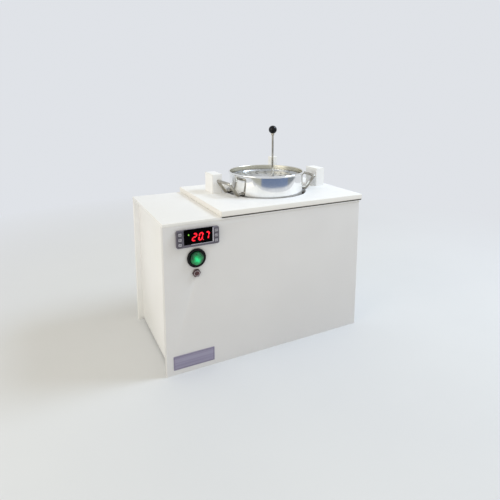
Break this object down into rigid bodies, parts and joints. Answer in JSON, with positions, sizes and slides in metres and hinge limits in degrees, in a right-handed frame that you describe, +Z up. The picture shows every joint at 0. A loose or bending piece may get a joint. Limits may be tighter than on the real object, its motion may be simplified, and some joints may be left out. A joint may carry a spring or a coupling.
{
  "type": "laboratory water bath",
  "caption": "Benchtop laboratory water bath with a digital controller, a loose lid carrying posts, and a hanging steel pot with a lift-out perforated insert.",
  "frame": {"origin": "on the floor, in the middle of the whole part's box", "axes": "+X to the user's right, +Y from the control panel to the back, +Z up"},
  "size_m": [0.405, 0.236, 0.4088],
  "materials": {
    "painted_front": "satin white enamel",
    "painted_side": "satin white enamel",
    "painted_top": "satin white enamel",
    "painted_inner": "satin white enamel",
    "timber": "planed, bare",
    "screw_steel": "zinc plated",
    "tank_steel": "satin stainless",
    "gasket_rubber": "matt",
    "heater_silicone": "matt",
    "foam": "open foam",
    "phenolic": "moulded",
    "strip_plastic": "moulded",
    "wire_insulation": "extruded",
    "black_plastic": "moulded",
    "pin_brass": "plated",
    "controller_grey": "moulded",
    "key_grey": "moulded",
    "circuit_board": "lacquered",
    "display_black": "moulded",
    "window_tint": "polished",
    "lit_red": "lit",
    "lit_green": "lit",
    "switch_ring": "polished",
    "switch_green": "translucent",
    "nut_steel": "nickel plated",
    "reset_red": "moulded",
    "plate_aluminium": "satin anodised",
    "post_white": "gloss white",
    "pot_steel": "polished stainless",
    "handle_steel": "polished stainless",
    "insert_steel": "satin stainless",
    "rod_steel": "polished stainless",
    "knob_black": "polished"
  },
  "bodies": {
    "cabinet": {"front_panel": "painted_front", "back_panel": "painted_front", "left_side_panel": "painted_side", "right_side_panel": "painted_side", "top_panel": "painted_top", "base_plate": "painted_inner", "partition_wall": "painted_inner", "base_cleats": "timber", "tank_rails": "timber", "cabinet_screws": "screw_steel", "inlet_screws": "screw_steel", "tank": "tank_steel", "probe_gland": "tank_steel", "temperature_probe": "tank_steel", "carrier_plate": "tank_steel", "tank_gasket": "gasket_rubber", "heating_mat": "heater_silicone", "insulation_jacket": "foam", "thermal_cutout": "phenolic", "switch_body": "phenolic", "heater_relay": "phenolic", "terminal_strip": "strip_plastic", "controller_terminals": "strip_plastic", "wiring_loom": "wire_insulation", "mains_inlet": "black_plastic", "controller_case": "black_plastic", "controller_clips": "black_plastic", "switch_nut": "black_plastic", "inlet_pins": "pin_brass", "controller_bezel": "controller_grey", "controller_board": "circuit_board", "display_module": "display_black", "display_window": "window_tint", "display_digits": "lit_red", "status_light": "lit_green", "switch_bezel": "switch_ring", "reset_nut": "nut_steel", "reset_bushing": "nut_steel", "nameplate": "plate_aluminium"},
    "lid": {"lid_plate": "painted_top", "lid_cleats": "timber", "left_post": "post_white", "right_post": "post_white", "rear_post": "post_white", "post_screws": "screw_steel"},
    "pot": {"pot_shell": "pot_steel", "left_handle": "handle_steel", "right_handle": "handle_steel"},
    "insert": {"insert_plate": "insert_steel", "lifting_rod": "rod_steel", "rod_nuts": "screw_steel", "ball_knob": "knob_black"},
    "power_switch": {"switch_button": "switch_green"},
    "limiter_reset": {"reset_button": "reset_red"},
    "left_key_1": {"left_key_1": "key_grey"},
    "left_key_2": {"left_key_2": "key_grey"},
    "left_key_3": {"left_key_3": "key_grey"},
    "right_key_1": {"right_key_1": "key_grey"},
    "right_key_2": {"right_key_2": "key_grey"},
    "right_key_3": {"right_key_3": "key_grey"}
  },
  "joints": [
    {"name": "lid_lift", "type": "slide", "parent": "cabinet", "child": "lid", "axis": [0, 0, 1], "range_m": [0, 0.08]},
    {"name": "pot_lift", "type": "slide", "parent": "lid", "child": "pot", "axis": [0, 0, 1], "range_m": [0, 0.13]},
    {"name": "insert_lift", "type": "slide", "parent": "pot", "child": "insert", "axis": [0, 0, 1], "range_m": [0, 0.16]},
    {"name": "switch_push", "type": "slide", "parent": "cabinet", "child": "power_switch", "axis": [0, 1, 0], "range_m": [0, 0.003], "stiffness_N_per_m": 600},
    {"name": "reset_push", "type": "slide", "parent": "cabinet", "child": "limiter_reset", "axis": [0, 1, 0], "range_m": [0, 0.002], "stiffness_N_per_m": 600},
    {"name": "left_key_1_push", "type": "slide", "parent": "cabinet", "child": "left_key_1", "axis": [0, 1, 0], "range_m": [0, 0.0007], "stiffness_N_per_m": 500},
    {"name": "left_key_2_push", "type": "slide", "parent": "cabinet", "child": "left_key_2", "axis": [0, 1, 0], "range_m": [0, 0.0007], "stiffness_N_per_m": 500},
    {"name": "left_key_3_push", "type": "slide", "parent": "cabinet", "child": "left_key_3", "axis": [0, 1, 0], "range_m": [0, 0.0007], "stiffness_N_per_m": 500},
    {"name": "right_key_1_push", "type": "slide", "parent": "cabinet", "child": "right_key_1", "axis": [0, 1, 0], "range_m": [0, 0.0007], "stiffness_N_per_m": 500},
    {"name": "right_key_2_push", "type": "slide", "parent": "cabinet", "child": "right_key_2", "axis": [0, 1, 0], "range_m": [0, 0.0007], "stiffness_N_per_m": 500},
    {"name": "right_key_3_push", "type": "slide", "parent": "cabinet", "child": "right_key_3", "axis": [0, 1, 0], "range_m": [0, 0.0007], "stiffness_N_per_m": 500}
  ]
}
